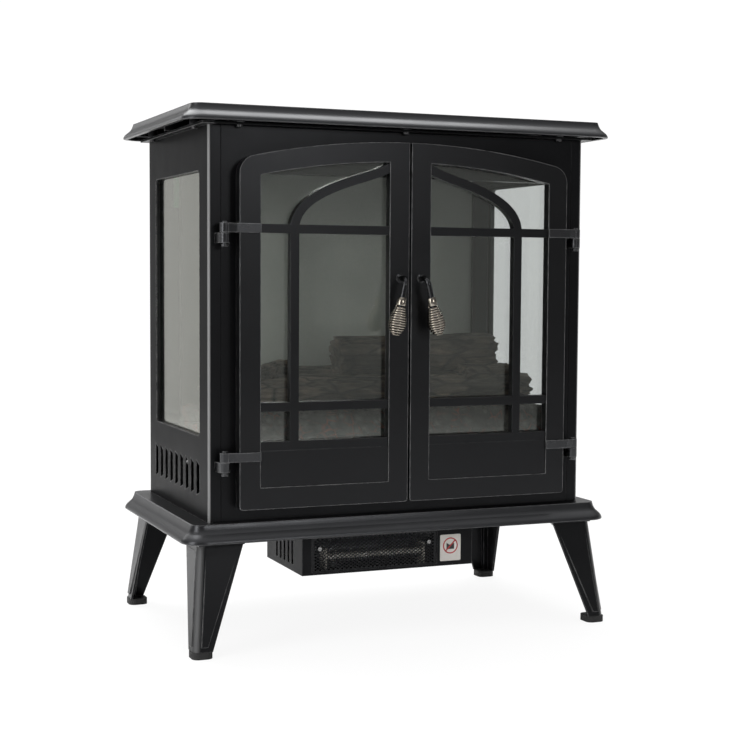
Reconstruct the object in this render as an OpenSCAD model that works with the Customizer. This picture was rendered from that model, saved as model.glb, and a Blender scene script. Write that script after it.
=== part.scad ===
// Free-standing electric fireplace in the style of a small iron stove.
// A black steel cabinet stands on four splayed legs between two ogee-edged slabs. A pair of
// arched lattice doors opens on a log and flame set, and a fan heater hangs under the base.
// Millimetres, +Z up, the front towards -Y, the feet on z = 0, centred on x = 0 and y = 0.

/* [Cabinet] */
// Overall height, from the feet to the top slab
overall_h = 650; // [640:1:670]
// Width of the steel body
body_w = 503; // [500:1:510]
// Depth of the steel body
body_d = 280; // [276:1:290]
// Clear height under the base slab
leg_h = 134; // [128:1:140]
// Thickness of the sheet steel
sheet = 1.5; // [1.2:0.1:1.8]
// Height of the firebox floor above the base slab
firebox_rise = 76; // [74:1:78]

/* [Slabs] */
// How far both slabs stand out past the body at the sides
slab_over_x = 34; // [32:0.5:36]
// How far both slabs stand out past the body at front and rear
slab_over_y = 26; // [24:0.5:28]
// Thickness of the base slab
base_t = 22; // [20:1:24]
// Thickness of the top slab
top_t = 20; // [18:1:22]
// Reach of the ogee edge, from the flat top out to the widest point
ogee_w = 13; // [10:0.5:14]

/* [Doors] */
// Half of the gap between the two doors
door_gap = 1.5; // [1:0.5:2.5]
// Width of each door
door_w = 217; // [215:1:218]
// Radius of the shared arch over both doors
arch_r = 938; // [900:1:980]
// Height of the arch's crown above the floor
arch_z = 613; // [611:1:615]
// Height of the doors' bottom edge above the floor
door_z = 172; // [168:1:176]
// Width of the door frame
stile_w = 26; // [25:1:28]
// Depth of the door frame's shell
door_t = 15; // [14:1:16]
// How far the doors' front stands off the fascia
door_stand = 20; // [20:1:22]
// Width of a lattice bar
bar_w = 11; // [9:0.5:12]
// Widest turn of the spring grips
grip_d = 23; // [20:1:24]

/* [Motion] */
// Clearance between a hinge pin and the door's knuckle
pin_play = 0.06; // [0.03:0.01:0.1]
// Tilt of a rocker switch to each side of level
rocker_tilt = 6; // [4:0.5:7]

/* [Hidden] */
$fn = 48;
eps = 0.01;
half_w = body_w / 2;
half_d = body_d / 2;
base_top = leg_h + base_t;
plate_t = 3;
plate_top = overall_h - top_t;
body_top = plate_top - plate_t;
slab_x = half_w + slab_over_x;
slab_y = half_d + slab_over_y;
slab_corner = 26;
slab_lip = 6;
slab_skin = 4;
floor_z = base_top + firebox_rise;

// Door planes, from front to back
door_front = -half_d - door_stand;
door_back = door_front + door_t;
glass_t = 3;
liner_t = 1.2;
lattice_set = 1.5;
door_in = door_gap;
door_out = door_gap + door_w;
pane_in = door_in + stile_w;
pane_out = door_out - stile_w;
rail_w = 24;
arch_c = arch_z - arch_r;
pane_z = door_z + stile_w;
bar_low = 241.7;
bar_mid = 288.6;
bar_high = 500.6;
post_in = 144;
corner_r = 22;

// Hinges
hinge_x = half_w - 16.5;
hinge_y = -half_d - 14;
knuckle_r = 6.1;
knuckle_h = 12;
pin_r = 3;
hinge_upper = 500.6;
hinge_lower = 230;

// Handles
handle_x = 14;
handle_z = 448;
handle_reach = 21;
handle_lean = 12.5;
rod_r = 3.4;
rod_bend = 9;
rod_drop = 61;
grip_top = 24;
grip_turns = 12;
grip_pitch = 2.95;

// The feet reach furthest back and the grips furthest forward, and the origin is between them
foot_y = 172.5;
front_reach = -door_front + handle_reach + grip_d / 2;
y_shift = (front_reach - foot_y) / 2;

// Side windows and side vents
win_y = 104;
win_z0 = 256;
win_z1 = 575;
win_frame = 8;
win_deep = 7;
win_r = 6;
win_glass = 3;
vent_n = 9;
vent_pitch = 24.6;
vent_w = 16;
vent_z0 = 182;
vent_z1 = 227;
vent_deep = 7;
bend_r = 4;
flange_w = 12;

// Fascia opening
mouth_x = 205;
mouth_top = 571;
mouth_lip = 14;

// Heater box under the base
heat_x = 118;
heat_y0 = -100;
heat_y1 = 38;
heat_z0 = 75;
grille_x0 = -105;
grille_x1 = 67.5;
grille_z0 = 78.5;
grille_z1 = 122;
coil_x0 = -80;
coil_x1 = 51;
coil_y = -80;
coil_z = 94;
fan_y = 2;
fan_z = 105;
fan_r = 22;
fan_x0 = -88;
fan_x1 = 66;
shaft_r = 2;

// Ember bed, logs and flame effect
bed_x = 228;
bed_front = -120;
bed_rear = 56;
bed_h = 52;
screen_y = 76;
screen_x = 205;
screen_top = 612;
rotor_y = 108;
rotor_z = floor_z + 42;
rotor_r = 22;
rotor_x0 = -178;
rotor_x1 = 150;
spindle_r = 3;

// Controls on the rear panel
ctrl_x = -150;
ctrl_z = 560;
ctrl_w = 170;
ctrl_h = 60;
rocker_x = [-205, -175];
rocker_set = 3;
knob_x = [-140, -100];
knob_r = 14;
gland_x = -200;
gland_z = 195;
gland_back = 9;
gland_out = 12;
cord_r = 3.6;

// Legs: where the outer corner and both free edges stand at the top and at the foot
leg_top = leg_h - plate_t - 1;
leg_foot = 8;
leg_t = 3;
leg_out_top = [half_w + 14.5, half_d + 10];
leg_in_top = [half_w - 40.5, half_d - 45];
leg_out_foot = [277.5, 170.5];
leg_in_foot = [254.5, 145.5];

// Fixings
flange_half = [half_w + 9, half_d + 9];
slab_screw_x = [-214, 0, 214];
slab_screw_y = 100;
leg_bolt_r = 3;
thread_r = 1.25;

// ---------------------------------------------------------------- helpers

// Puts a shape drawn about the cabinet's own centre into the part's frame
module placed() {
  translate([0, y_shift, 0]) children();
}

// A block from its low corner to its high corner
module block(low, high) {
  translate(low) cube(high - low);
}

// A flat plate from a plan drawn in x and z, from y = y0 to y = y1
module upright(y0, y1) {
  translate([0, y1, 0]) rotate([90, 0, 0]) linear_extrude(y1 - y0) children();
}

// The same shape on both sides of the cabinet, drawn on the right
module both_sides() {
  children();
  mirror([1, 0, 0]) children();
}

// One side only: side = 1 is the right, side = -1 the left
module on_side(side) {
  if (side > 0) children();
  else mirror([1, 0, 0]) children();
}

// A pan-head screw whose head rests on the local origin and points up, with its shank below
module screw(shank_r, shank_l, head_r, head_h) {
  translate([0, 0, -shank_l]) cylinder(r = shank_r, h = shank_l + eps);
  difference() {
    cylinder(r = head_r, h = head_h);
    translate([0, 0, head_h - 0.8]) cube([head_r * 1.5, 0.8, 2], center = true);
    translate([0, 0, head_h - 0.8]) cube([0.8, head_r * 1.5, 2], center = true);
  }
}

// The hole that a small screw cuts, right through what it holds
module screw_hole() {
  translate([0, 0, -8]) cylinder(r = thread_r + 0.05, h = 12);
}

// Points of a cubic curve through a, with handles b and c, to d
function curve(a, b, c, d, n) =
  [for (i = [0:n]) let (t = i / n, s = 1 - t)
    s * s * s * a + 3 * s * s * t * b + 3 * s * t * t * c + t * t * t * d];

// The same line moved sideways by w
function beside(line, w) =
  [for (i = [0:len(line) - 1])
    let (a = line[max(i - 1, 0)], b = line[min(i + 1, len(line) - 1)], d = (b - a) / norm(b - a))
    line[i] + w * [-d[1], d[0]]];

function reversed(list) = [for (i = [len(list) - 1:-1:0]) list[i]];

// A rectangle with round corners, given by its half sizes
module rounded(x, y, r) {
  square([2 * (x - r), 2 * y], center = true);
  square([2 * x, 2 * (y - r)], center = true);
  for (sx = [-1, 1]) for (sy = [-1, 1]) translate([sx * (x - r), sy * (y - r)]) circle(r);
}

// ---------------------------------------------------------------- slabs and cabinet

// Line of a slab's ogee edge, from the top down: a hollow curve that turns into a bulge
function ogee_line(t) =
  let (w = ogee_w, lip = 0.8, mid = [w / 2, 0.45 * t])
  concat(
    curve([0, t - lip], [0.12 * w, 0.72 * t], [0.24 * w, 0.56 * t], mid, 6),
    [for (p = curve(mid, [0.78 * w, 0.31 * t], [0.98 * w, 0.2 * t], [w, lip], 7))
      if (p[0] > mid[0] + eps) p]
  );

// Section of a slab's edge: x runs outwards from the edge of the flat top
module ogee_section(t, inner) {
  polygon(concat([[-inner, 0], [-inner, t], [0, t]], ogee_line(t), [[ogee_w - 0.6, 0]]));
}

// A slab with an ogee edge all round and rounded corners, its underside at z = 0
module slab_shape(t) {
  core_x = slab_x - slab_corner;
  core_y = slab_y - slab_corner;
  inner = slab_corner - ogee_w;
  translate([-core_x, -core_y, 0]) cube([2 * core_x, 2 * core_y, t]);
  for (side = [0, 1]) mirror([side, 0, 0])
    translate([core_x + inner, core_y, 0]) rotate([90, 0, 0])
      linear_extrude(2 * core_y) ogee_section(t, inner);
  for (side = [0, 1]) mirror([0, side, 0])
    translate([-core_x, core_y + inner, 0]) rotate([90, 0, 90])
      linear_extrude(2 * core_x) ogee_section(t, inner);
  for (sx = [0, 1]) for (sy = [0, 1]) mirror([sx, 0, 0]) mirror([0, sy, 0])
    translate([core_x, core_y, 0]) rotate_extrude(angle = 90)
      translate([inner, 0]) ogee_section(t, inner);
}

// The hollow under a slab, stepped to follow the ogee edge
module slab_hollow(t) {
  low = slab_lip;
  high = ogee_w + slab_lip;
  translate([0, 0, -eps]) {
    linear_extrude(0.27 * t + eps) rounded(slab_x - low, slab_y - low, slab_corner - low);
    linear_extrude(t - slab_skin + eps) rounded(slab_x - high, slab_y - high, slab_corner - high);
  }
}

// Where the screws under the top flange stand
module at_slab_screws() {
  for (x = slab_screw_x) for (y = [-1, 1])
    translate([x, y * (half_d + 4.5), 0]) children();
  for (x = [-1, 1]) for (y = [-slab_screw_y, slab_screw_y])
    translate([x * (half_w + 4.5), y, 0]) children();
}

// Where the leg bolts stand
module at_leg_bolts() {
  for (sx = [-1, 1]) for (sy = [-1, 1]) {
    translate([sx * (leg_out_top[0] - 13), sy * (leg_in_top[1] + 10), 0]) children();
    translate([sx * (leg_in_top[0] + 10), sy * (leg_out_top[1] - 13), 0]) children();
  }
}

module base_slab() {
  web = 3;
  web_x = slab_x - ogee_w - slab_lip;
  web_y = slab_y - ogee_w - slab_lip;
  duct_x = 95;
  duct_y0 = -75;
  duct_y1 = 15;
  seat = 50;
  color([0.16, 0.16, 0.17]) placed() difference() {
    union() {
      difference() {
        translate([0, 0, leg_h]) slab_shape(base_t);
        translate([0, 0, leg_h]) slab_hollow(base_t);
      }
      for (x = [-170, 150]) block([x, -web_y, leg_h], [x + web, web_y, base_top - eps]);
      for (y = [-105, 42]) block([-web_x, y, leg_h], [web_x, y + web, base_top - eps]);
      for (sx = [-1, 1]) for (sy = [-1, 1])
        translate([sx * (leg_out_top[0] - 29), sy * (leg_out_top[1] - 29), leg_h])
          translate([-seat / 2, -seat / 2, 0]) cube([seat, seat, base_t - eps]);
    }
    block([-duct_x, duct_y0, leg_h - 1], [duct_x, duct_y1, base_top + 1]);
    at_leg_bolts() translate([0, 0, leg_h - 1]) cylinder(r = leg_bolt_r + 0.05, h = 17);
  }
}

module top_slab() {
  rib = 3;
  rib_x = slab_x - ogee_w - slab_lip;
  rib_y = slab_y - ogee_w - slab_lip;
  color([0.16, 0.16, 0.17]) placed() difference() {
    union() {
      difference() {
        translate([0, 0, plate_top]) slab_shape(top_t);
        translate([0, 0, plate_top]) slab_hollow(top_t);
      }
      for (x = [-107, 107]) block([x, -rib_y, plate_top], [x + rib, rib_y, overall_h - 1]);
      block([-rib_x, -rib / 2, plate_top], [rib_x, rib / 2, overall_h - 1]);
      at_slab_screws() translate([0, 0, plate_top]) cylinder(r = 6, h = top_t - 1);
    }
    at_slab_screws() translate([0, 0, plate_top - 1]) cylinder(r = 1.8, h = 12);
  }
}

module top_plate() {
  color([0.1, 0.1, 0.1]) placed() difference() {
    block([-flange_half[0], -flange_half[1], body_top], [flange_half[0], flange_half[1], plate_top]);
    at_slab_screws() translate([0, 0, body_top - 1]) cylinder(r = 1.8, h = plate_t + 2);
  }
}

// Plan of a side panel: a wall with a rounded fold and a return flange at front and rear
module side_plan() {
  translate([half_w - sheet, -half_d + bend_r]) square([sheet, body_d - 2 * bend_r]);
  for (flip = [0, 1]) mirror([0, flip]) {
    translate([half_w - bend_r - flange_w, -half_d]) square([flange_w, sheet]);
    translate([half_w - bend_r, -half_d + bend_r]) intersection() {
      difference() {
        circle(bend_r);
        circle(bend_r - sheet);
      }
      translate([0, -bend_r]) square(bend_r);
    }
  }
}

// Outline of a louvre in the wall's plane, y along the wall and z up, shorter at its front
module louvre_outline(inset) {
  slope = 5;
  polygon([
    [-vent_w / 2 + inset, vent_z0 + slope + inset], [vent_w / 2, vent_z0 + inset],
    [vent_w / 2, vent_z1 - inset], [-vent_w / 2 + inset, vent_z1 - slope - inset]
  ]);
}

// Plan of the space in a louvre, from the wall's face inwards
module louvre_plan(inset) {
  polygon([
    [-vent_w / 2, 1], [-vent_w / 2, -inset * 0.4], [-vent_w * 0.1, inset - vent_deep * 0.85],
    [vent_w / 2, inset - vent_deep], [vent_w / 2 + eps, 1]
  ]);
}

module louvre_space(inset) {
  intersection() {
    translate([20, 0, 0]) rotate([90, 0, -90]) linear_extrude(40) mirror([1, 0]) louvre_outline(inset);
    linear_extrude(vent_z1 + 5) rotate(-90) mirror([1, 0]) louvre_plan(inset);
  }
}

module side_panel(side) {
  color([0.3, 0.3, 0.32]) placed() on_side(side) difference() {
    union() {
      translate([0, 0, base_top]) linear_extrude(body_top - base_top) side_plan();
      for (i = [0:vent_n - 1])
        translate([half_w, (i - (vent_n - 1) / 2) * vent_pitch + 2.5, 0]) intersection() {
          louvre_space(0);
          block([-20, -20, 0], [-eps, 20, vent_z1 + 5]);
        }
    }
    for (i = [0:vent_n - 1])
      translate([half_w, (i - (vent_n - 1) / 2) * vent_pitch + 2.5, 0]) louvre_space(1);
    window_space(half_w - 10, half_w + 10);
    at_rear_screws() screw_hole();
  }
}

module front_fascia() {
  reach = half_w - bend_r - flange_w - 0.3;
  color([0.09, 0.09, 0.09]) placed() difference() {
    union() {
      block([-reach, -half_d, base_top], [reach, -half_d + sheet, body_top]);
      block([-mouth_x - sheet, -half_d, floor_z],
        [mouth_x + sheet, -half_d + mouth_lip, mouth_top + sheet]);
    }
    block([-mouth_x, -half_d - 1, floor_z - 1], [mouth_x, -half_d + mouth_lip + 1, mouth_top]);
  }
}

// Plan of the rear panel's ventilation slots, in x and z
module rear_slots() {
  slot_h = 40;
  slot_w = 5;
  for (i = [0:10]) translate([60 + 13 * i, 575]) square([slot_w, slot_h]);
  for (i = [0:10]) translate([60 + 13 * i, 170]) square([slot_w, slot_h]);
}

module rear_panel() {
  margin = bend_r;
  color([0.12, 0.12, 0.12]) placed() difference() {
    upright(half_d - 2 * sheet, half_d - sheet) difference() {
      translate([-half_w + margin, base_top]) square([body_w - 2 * margin, body_top - base_top]);
      rear_slots();
      translate([ctrl_x - ctrl_w / 2 + 8, ctrl_z - ctrl_h / 2 + 8]) square([ctrl_w - 16, ctrl_h - 16]);
      translate([gland_x, gland_z]) circle(8.05);
    }
    at_rear_screws() screw_hole();
    at_control_screws() screw_hole();
  }
}

module firebox_floor() {
  lip = 12;
  wall_x = half_w - bend_r;
  front = -half_d + sheet + 0.3;
  rear = half_d - 2 * sheet - 0.3;
  color([0.08, 0.08, 0.08]) placed() difference() {
    union() {
      block([-wall_x, front, floor_z - sheet], [wall_x, rear, floor_z]);
      for (y = [front, rear - sheet]) block([-wall_x, y, floor_z - lip], [wall_x, y + sheet, floor_z]);
      for (x = [-150, 150 - sheet]) block([x, front, base_top], [x + sheet, rear, floor_z]);
    }
    block([-100, 90, floor_z - 5], [100, 126, floor_z + 5]);
  }
}

// The rounded opening of a side window, from x = a to x = b
module window_space(a, b) {
  translate([a, 0, (win_z0 + win_z1) / 2]) rotate([90, 0, 90])
    linear_extrude(b - a) rounded(win_y, (win_z1 - win_z0) / 2, win_r);
}

module window_frames() {
  back = half_w - sheet - win_deep;
  glass_at = back + win_glass;
  color([0.07, 0.07, 0.07]) placed() both_sides() difference() {
    block([back, -win_y - win_frame, win_z0 - win_frame],
      [half_w - sheet, win_y + win_frame, win_z1 + win_frame]);
    window_space(back - 1, half_w);
    block([back - 1, -win_y - 5, win_z0 - 5], [glass_at, win_y + 5, win_z1 + 5]);
  }
}

module window_panes() {
  back = half_w - sheet - win_deep;
  color([0.5, 0.52, 0.5, 0.4]) placed() both_sides()
    block([back, -win_y - 4.8, win_z0 - 4.8], [back + win_glass, win_y + 4.8, win_z1 + 4.8]);
}

// ---------------------------------------------------------------- legs and feet

// A thin level slice of one face of a leg, from plan point a to plan point b
module face_slice(a, b, z, h) {
  translate([0, 0, z]) linear_extrude(h) polygon([a, [b[0], a[1]], b, [a[0], b[1]]]);
}

// The leg at the front right: two tapered faces that meet at a rounded outer corner
module leg_shape() {
  round = 9;
  skin = 0.1;
  top = leg_top - skin;
  panel = 6;
  proud = 0.9;
  // the face towards the front
  hull() {
    face_slice([leg_in_top[0], -leg_out_top[1]],
      [leg_out_top[0] - round, leg_t - leg_out_top[1]], top, skin);
    face_slice([leg_in_foot[0], -leg_out_foot[1]],
      [leg_out_foot[0] - round, leg_t - leg_out_foot[1]], leg_foot, skin);
  }
  // the face towards the side
  hull() {
    face_slice([leg_out_top[0] - leg_t, -leg_out_top[1] + round],
      [leg_out_top[0], -leg_in_top[1]], top, skin);
    face_slice([leg_out_foot[0] - leg_t, -leg_out_foot[1] + round],
      [leg_out_foot[0], -leg_in_foot[1]], leg_foot, skin);
  }
  // the rounded corner between them
  hull() {
    translate([leg_out_top[0] - round, -leg_out_top[1] + round, top]) corner_slice(round, skin);
    translate([leg_out_foot[0] - round, -leg_out_foot[1] + round, leg_foot]) corner_slice(round, skin);
  }
  // the raised panel on each face
  hull() {
    face_slice([leg_in_top[0] + panel, -leg_out_top[1] - proud],
      [leg_out_top[0] - round, -leg_out_top[1] + 1], top - panel, skin);
    face_slice([leg_in_foot[0] + panel, -leg_out_foot[1] - proud],
      [leg_out_foot[0] - round, -leg_out_foot[1] + 1], leg_foot + panel, skin);
  }
  hull() {
    face_slice([leg_out_top[0] - 1, -leg_out_top[1] + round],
      [leg_out_top[0] + proud, -leg_in_top[1] - panel], top - panel, skin);
    face_slice([leg_out_foot[0] - 1, -leg_out_foot[1] + round],
      [leg_out_foot[0] + proud, -leg_in_foot[1] - panel], leg_foot + panel, skin);
  }
  // the flange that bolts to the slab
  block([leg_in_top[0] - 2, -leg_out_top[1], leg_top], [leg_out_top[0], -leg_in_top[1] + 2, leg_h]);
}

// A quarter of a disc, one millimetre past its straight sides
module corner_slice(r, h) {
  linear_extrude(h) intersection() {
    circle(r, $fn = 32);
    translate([-1, -r]) square(r + 1);
  }
}

module leg(side, rear) {
  color([0.2, 0.2, 0.22]) placed() on_side(side) mirror([0, rear, 0]) difference() {
    leg_shape();
    translate([leg_out_top[0] - 13, -leg_in_top[1] - 10, leg_top - 1])
      cylinder(r = leg_bolt_r + 0.3, h = 9);
    translate([leg_in_top[0] + 10, -leg_out_top[1] + 13, leg_top - 1])
      cylinder(r = leg_bolt_r + 0.3, h = 9);
  }
}

module foot_pads() {
  over = 1;
  half_x = (leg_out_foot[0] - leg_in_foot[0]) / 2 + over;
  half_y = (leg_out_foot[1] - leg_in_foot[1]) / 2 + over;
  color([0.07, 0.07, 0.07]) placed()
    for (sx = [0, 1]) for (sy = [0, 1]) mirror([sx, 0, 0]) mirror([0, sy, 0])
      translate([leg_in_foot[0] - over + half_x, leg_in_foot[1] - over + half_y, 0]) difference() {
        linear_extrude(leg_foot) rounded(half_x, half_y, 8);
        translate([0, 0, leg_foot - 2]) cylinder(r = 6, h = 5);
      }
}

module leg_bolts() {
  color("silver") placed() at_leg_bolts()
    translate([0, 0, leg_top]) rotate([180, 0, 0]) {
      translate([0, 0, -18]) cylinder(r = leg_bolt_r, h = 18 + eps);
      cylinder(r = 5.5, h = 4, $fn = 6);
    }
}

module slab_screws() {
  color("silver") placed() at_slab_screws()
    translate([0, 0, body_top]) rotate([180, 0, 0]) screw(1.75, 12, 3.6, 2.4);
}

// ---------------------------------------------------------------- small fixings

// Where the rear panel's screws stand, with the local z axis pointing out of the back
module at_rear_screws() {
  for (x = [-1, 1]) for (z = [175, 300, 430, 560])
    translate([x * (half_w - bend_r - 6), half_d, z]) rotate([-90, 0, 0]) children();
}

// Where the control plate's screws stand
module at_control_screws() {
  for (x = [-1, 1]) for (z = [-1, 1])
    translate([ctrl_x + x * (ctrl_w / 2 - 4), half_d + 0.5, ctrl_z + z * (ctrl_h / 2 - 4)])
      rotate([-90, 0, 0]) children();
}

// Where the grille's two screws stand
module at_grille_screws() {
  for (x = [grille_x0 + 10, grille_x1 - 12])
    translate([x, heat_y0 - 0.2, 108]) rotate([90, 0, 0]) children();
}

module panel_screws() {
  color("silver") placed() {
    at_rear_screws() screw(thread_r, 6, 2.8, 1.8);
    at_control_screws() screw(thread_r, 4, 2.6, 1.6);
    at_grille_screws() screw(thread_r, 5, 2.4, 1.5);
  }
}

// ---------------------------------------------------------------- fan heater

// The five air slots in each side of the heater box, in y and z
module heater_slots() {
  for (i = [0:4]) translate([-66 + 15 * i, 84]) square([7, 30]);
}

module heater_box() {
  wall = 1.2;
  lip = 8;
  mouth = [[grille_x0, grille_z0], [grille_x1, grille_z1]];
  color([0.13, 0.13, 0.14]) placed() difference() {
    union() {
      difference() {
        block([-heat_x, heat_y0, heat_z0], [heat_x, heat_y1, leg_h]);
        block([-heat_x + wall, heat_y0 + wall, heat_z0 + wall], [heat_x - wall, heat_y1 - wall, leg_h + 1]);
      }
      block([-heat_x - lip, heat_y0, leg_h - wall], [-heat_x + wall, heat_y1, leg_h]);
      block([heat_x - wall, heat_y0, leg_h - wall], [heat_x + lip, heat_y1, leg_h]);
    }
    block([mouth[0][0], heat_y0 - 1, mouth[0][1]], [mouth[1][0], heat_y0 + 3, mouth[1][1]]);
    translate([-heat_x - 1, 0, 0]) rotate([90, 0, 90]) linear_extrude(2 * heat_x + 2) heater_slots();
    for (i = [0:7]) block([-80 + 20 * i, heat_y1 - 3, 84], [-72 + 20 * i, heat_y1 + 1, 122]);
  }
}

// Expanded metal behind the box's mouth: rows of diamonds in a plain frame
module heater_grille() {
  cell_w = 6;
  cell_h = 4;
  strand = 0.9;
  rim = 2.5;
  cols = floor((grille_x1 - grille_x0 - 3) / cell_w);
  rows = floor((grille_z1 - grille_z0 - 3) / cell_h);
  mid_x = (grille_x0 + grille_x1) / 2;
  mid_z = (grille_z0 + grille_z1) / 2;
  half_cell = [cell_w / 2 - strand * 0.9, cell_h / 2 - strand * 0.6];
  color([0.06, 0.06, 0.06]) placed() difference() {
    upright(heat_y0 + 1.2, heat_y0 + 2.2) difference() {
      translate([grille_x0 - rim, grille_z0 - rim + 0.5])
        square([grille_x1 - grille_x0 + 2 * rim, grille_z1 - grille_z0 + 2 * rim]);
      for (i = [0:2 * cols - 2]) for (j = [0:rows - 1])
        translate([mid_x + (i + 1 - cols) * cell_w / 2, mid_z + (j - rows / 2 + (i % 2) / 2 + 0.25) * cell_h])
          polygon([[-half_cell[0], 0], [0, half_cell[1]], [half_cell[0], 0], [0, -half_cell[1]]]);
    }
    at_grille_screws() screw_hole();
  }
}

module heating_element() {
  color([0.55, 0.53, 0.5]) placed() translate([coil_x0, coil_y, coil_z]) rotate([0, 90, 0]) difference() {
    cylinder(r = 8, h = coil_x1 - coil_x0);
    translate([0, 0, -1]) cylinder(r = 6, h = coil_x1 - coil_x0 + 2);
  }
}

module element_support() {
  core_r = 4;
  end_t = 3;
  color([0.85, 0.82, 0.75]) placed() {
    translate([coil_x0 - 1, coil_y, coil_z]) rotate([0, 90, 0])
      cylinder(r = core_r, h = coil_x1 - coil_x0 + 2);
    for (x = [coil_x0 - 1 - end_t, coil_x1 + 1])
      block([x, coil_y - 9, heat_z0 + 1.2], [x + end_t, coil_y + 9, coil_z + 12]);
  }
}

// Section of the fan's scroll, in y and z about the wheel's axis
module scroll_section() {
  gap = 3.5;
  skin = 1;
  difference() {
    circle(fan_r + gap + skin);
    circle(fan_r + gap);
    translate([-60, -fan_r - 10]) square([60, fan_r + 20]);
    rotate(20) square(60);
  }
}

module fan_housing() {
  end_t = 1.5;
  low = heat_z0 + 1.2;
  color([0.62, 0.63, 0.65]) placed() difference() {
    union() {
      translate([fan_x0 - 4, fan_y, fan_z]) rotate([90, 0, 90])
        linear_extrude(fan_x1 - fan_x0 + 8) scroll_section();
      for (x = [fan_x0 - 4 - end_t, fan_x1 + 4])
        block([x, fan_y - fan_r - 6, low], [x + end_t, fan_y + fan_r + 8, leg_h - 2]);
      translate([fan_x0 - 4 - end_t - 3, fan_y, fan_z]) rotate([0, 90, 0]) cylinder(r = 6, h = 3 + eps);
    }
    translate([fan_x0 - 20, fan_y, fan_z]) rotate([0, 90, 0]) cylinder(r = shaft_r + 0.05, h = 30);
    translate([fan_x1 - 10, fan_y, fan_z]) rotate([0, 90, 0]) cylinder(r = 5, h = 30);
  }
}

module fan_wheel() {
  disc_t = 1;
  blades = 20;
  discs = 4;
  span = fan_x1 - fan_x0;
  color([0.7, 0.71, 0.73]) placed() translate([fan_x0, fan_y, fan_z]) rotate([0, 90, 0]) {
    for (i = [0:discs]) translate([0, 0, i * (span - disc_t) / discs]) difference() {
      cylinder(r = fan_r, h = disc_t);
      if (i > 0 && i < discs) translate([0, 0, -1]) cylinder(r = fan_r - 9, h = disc_t + 2);
    }
    for (i = [0:blades - 1]) rotate(i * 360 / blades)
      translate([fan_r - 4, 0, 0]) rotate(35) translate([-3, -0.4, 0]) cube([5.5, 0.8, span]);
    translate([0, 0, -12]) cylinder(r = shaft_r, h = 12 + eps);
    translate([0, 0, span - eps]) cylinder(r = shaft_r, h = 14);
  }
}

module fan_motor() {
  start = fan_x1 + 4 + 1.5;
  body_l = 26;
  color([0.4, 0.4, 0.42]) placed() difference() {
    union() {
      translate([start, fan_y, fan_z]) rotate([0, 90, 0]) cylinder(r = 17, h = body_l);
      block([start, fan_y - 20, heat_z0 + 1.2], [start + 3, fan_y + 20, fan_z]);
      block([start + 5, fan_y - 14, fan_z], [start + body_l - 5, fan_y + 14, fan_z + 21]);
    }
    translate([start - 1, fan_y, fan_z]) rotate([0, 90, 0]) cylinder(r = shaft_r + 0.05, h = 14);
  }
}

module thermal_cutout() {
  color([0.8, 0.8, 0.82]) placed() translate([-60, -52, heat_z0 + 1.2]) {
    cylinder(r = 8, h = 6);
    translate([-12, -3, 0]) cube([24, 6, 0.8]);
    for (x = [-4, 3.2]) translate([x, -2.5, 5.9]) cube([0.8, 5, 8]);
  }
}

module caution_label() {
  color([0.83, 0.79, 0.71]) placed() block([72, heat_y0 - 0.3, 81], [101.5, heat_y0, 115.5]);
}

// ---------------------------------------------------------------- log and flame set

// A log from point a to point b
module stick(a, b, r) {
  d = b - a;
  len_d = norm(d);
  translate(a) rotate([0, acos(d[2] / len_d), atan2(d[1], d[0])]) cylinder(r = r, h = len_d, $fn = 20);
}

module log_set() {
  z0 = floor_z + bed_h;
  color([0.35, 0.27, 0.2]) placed() {
    stick([-212, 28, z0 + 24.2], [218, 26, z0 + 24.2], 24);
    stick([-215, -62, z0 + 19.2], [226, -48, z0 + 19.2], 19);
    stick([-130, -16, z0 + 20.2], [160, -14, z0 + 20.2], 20);
    stick([-44, -8, z0 + 60], [186, -20, z0 + 64], 28);
    stick([118, -50, z0 + 35], [204, -36, z0 + 34], 17);
    stick([-190, -50, z0 + 33], [-96, 34, z0 + 44], 13);
  }
}

// The moulded bed of embers: a hollow tray with a bevelled front
module ember_bed() {
  x = bed_x;
  wall = 6;
  bevel = 26;
  color([0.3, 0.16, 0.1]) placed() difference() {
    block([-x, bed_front, floor_z], [x, bed_rear, floor_z + bed_h]);
    translate([-x - 1, bed_front, floor_z + bed_h]) rotate([90, 0, 90])
      linear_extrude(2 * x + 2) polygon([[-1, -bevel], [0, -bevel], [bevel * 0.7, 0],
        [bevel * 0.7, 1], [-1, 1]]);
    block([-x + wall, bed_front + wall, floor_z - 1],
      [x - wall, bed_rear - wall, floor_z + bed_h - bevel - wall]);
  }
}

module flame_screen() {
  color([0.35, 0.36, 0.36, 0.8]) placed()
    block([-screen_x, screen_y, floor_z], [screen_x, screen_y + 3, screen_top]);
}

module screen_brackets() {
  color([0.1, 0.1, 0.1]) placed() both_sides() difference() {
    block([screen_x - 6, screen_y - 4, floor_z], [screen_x + 18, screen_y + 7, screen_top + 4]);
    block([screen_x - 7, screen_y - 0.1, floor_z - 1], [screen_x + 0.1, screen_y + 3.1, screen_top + 5]);
  }
}

module rotor_spindle() {
  color("silver") placed() {
    translate([rotor_x0 - 10, rotor_y, rotor_z]) rotate([0, 90, 0])
      cylinder(r = spindle_r, h = rotor_x1 - rotor_x0 + 24);
    for (x = [rotor_x0 + 4, rotor_x1 - 8])
      translate([x, rotor_y, rotor_z]) rotate([0, 90, 0]) cylinder(r = 6, h = 4);
  }
}

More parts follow.
